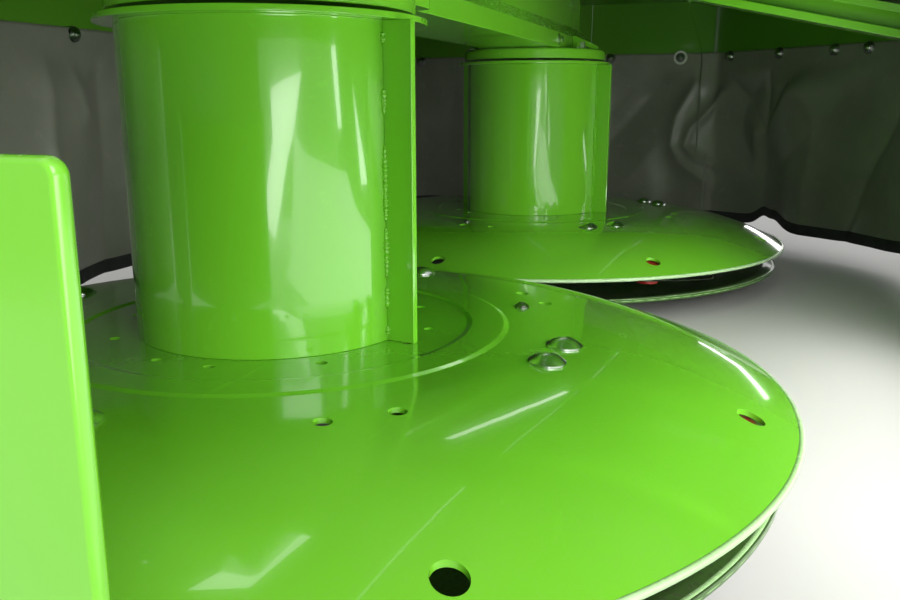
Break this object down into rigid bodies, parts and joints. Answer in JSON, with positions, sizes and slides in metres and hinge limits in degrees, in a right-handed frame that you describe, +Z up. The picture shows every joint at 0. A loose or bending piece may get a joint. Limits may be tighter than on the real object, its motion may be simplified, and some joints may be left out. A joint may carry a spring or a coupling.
{
  "type": "two-drum mowing unit of a drum mower",
  "caption": "Mowing unit with crop drums on domed cutting discs, swinging knives, skid dishes, a folded beam and a guard hood with a hinged flap and hanging curtains.",
  "frame": {"origin": "on the ground, midway between the two drum axes", "axes": "+X along the beam away from the drive head, +Y to the rear, +Z up"},
  "size_m": [2.016, 1.283, 0.778],
  "materials": {
    "green_paint": "glossy lime green enamel",
    "red_paint": "worn red paint",
    "bare_steel": "bare machined steel",
    "cast_iron": "bare cast iron, grooves polished by the belts",
    "coated_cloth": "grey coated curtain cloth with a black hem"
  },
  "bodies": {
    "frame": {"beam_housing": "green_paint", "beam_lid": "green_paint", "beam_end_plate": "green_paint", "drive_head": "green_paint", "head_lid": "green_paint", "carrier_lugs": "green_paint", "bevel_gearbox": "green_paint", "collar_near": "green_paint", "collar_far": "green_paint", "axle_near": "bare_steel", "axle_far": "bare_steel", "hood_rear_cover": "green_paint", "hood_front_cover": "green_paint", "flap_hinge_fixed": "green_paint", "guard_arms_front": "green_paint", "guard_arms_rear": "green_paint", "end_plate": "green_paint", "end_plate_brackets": "green_paint", "curtain_rear": "coated_cloth", "curtain_end": "coated_cloth"},
    "input": {"input_shaft": "bare_steel", "belt_pulley": "cast_iron"},
    "drum_near": {"drum_near": "green_paint", "fins_near": "green_paint", "disc_near": "green_paint", "knife_bars_near": "red_paint"},
    "drum_far": {"drum_far": "green_paint", "fins_far": "green_paint", "disc_far": "green_paint", "knife_bars_far": "red_paint"},
    "dish_near": {"dish_near": "green_paint", "dish_hub_near": "bare_steel"},
    "dish_far": {"dish_far": "green_paint", "dish_hub_far": "bare_steel"},
    "flap": {"front_flap": "green_paint", "flap_hinge_leaves": "green_paint", "curtain_front": "coated_cloth"},
    "knife_near_1": {"knife_near_1": "bare_steel"},
    "knife_near_2": {"knife_near_2": "bare_steel"},
    "knife_near_3": {"knife_near_3": "bare_steel"},
    "knife_near_4": {"knife_near_4": "bare_steel"},
    "knife_far_1": {"knife_far_1": "bare_steel"},
    "knife_far_2": {"knife_far_2": "bare_steel"},
    "knife_far_3": {"knife_far_3": "bare_steel"},
    "knife_far_4": {"knife_far_4": "bare_steel"}
  },
  "joints": [
    {"name": "drum_near_spin", "type": "hinge", "parent": "frame", "child": "drum_near", "pos_m": [-0.46, 0, 0.2], "axis": [0, 0, 1], "continuous": true},
    {"name": "drum_far_spin", "type": "hinge", "parent": "frame", "child": "drum_far", "pos_m": [0.46, 0, 0.2], "axis": [0, 0, 1], "continuous": true},
    {"name": "input_spin", "type": "hinge", "parent": "frame", "child": "input", "pos_m": [-0.46, 0.2, 0.668], "axis": [0, 1, 0], "continuous": true},
    {"name": "dish_near_spin", "type": "hinge", "parent": "frame", "child": "dish_near", "pos_m": [-0.46, 0, 0.02], "axis": [0, 0, 1], "continuous": true},
    {"name": "dish_far_spin", "type": "hinge", "parent": "frame", "child": "dish_far", "pos_m": [0.46, 0, 0.02], "axis": [0, 0, 1], "continuous": true},
    {"name": "flap_hinge", "type": "hinge", "parent": "frame", "child": "flap", "pos_m": [0, -0.222, 0.552], "axis": [-1, 0, 0], "range_deg": [0, 100]},
    {"name": "knife_near_1_swing", "type": "hinge", "parent": "drum_near", "child": "knife_near_1", "pos_m": [-0.48078, -0.39646, 0.0635], "axis": [0, 0, 1], "range_deg": [-20, 180]},
    {"name": "knife_near_2_swing", "type": "hinge", "parent": "drum_near", "child": "knife_near_2", "pos_m": [-0.06354, -0.02078, 0.0635], "axis": [0, 0, 1], "range_deg": [-20, 180]},
    {"name": "knife_near_3_swing", "type": "hinge", "parent": "drum_near", "child": "knife_near_3", "pos_m": [-0.43922, 0.39646, 0.0635], "axis": [0, 0, 1], "range_deg": [-20, 180]},
    {"name": "knife_near_4_swing", "type": "hinge", "parent": "drum_near", "child": "knife_near_4", "pos_m": [-0.85646, 0.02078, 0.0635], "axis": [0, 0, 1], "range_deg": [-20, 180]},
    {"name": "knife_far_1_swing", "type": "hinge", "parent": "drum_far", "child": "knife_far_1", "pos_m": [0.71519, -0.30412, 0.0635], "axis": [0, 0, 1], "range_deg": [-180, 20]},
    {"name": "knife_far_2_swing", "type": "hinge", "parent": "drum_far", "child": "knife_far_2", "pos_m": [0.76412, 0.25519, 0.0635], "axis": [0, 0, 1], "range_deg": [-180, 20]},
    {"name": "knife_far_3_swing", "type": "hinge", "parent": "drum_far", "child": "knife_far_3", "pos_m": [0.20481, 0.30412, 0.0635], "axis": [0, 0, 1], "range_deg": [-180, 20]},
    {"name": "knife_far_4_swing", "type": "hinge", "parent": "drum_far", "child": "knife_far_4", "pos_m": [0.15588, -0.25519, 0.0635], "axis": [0, 0, 1], "range_deg": [-180, 20]}
  ],
  "couplings": [
    {"joint": "drum_far_spin", "follows": "drum_near_spin", "ratio": -1},
    {"joint": "input_spin", "follows": "drum_near_spin", "ratio": 0.8}
  ]
}
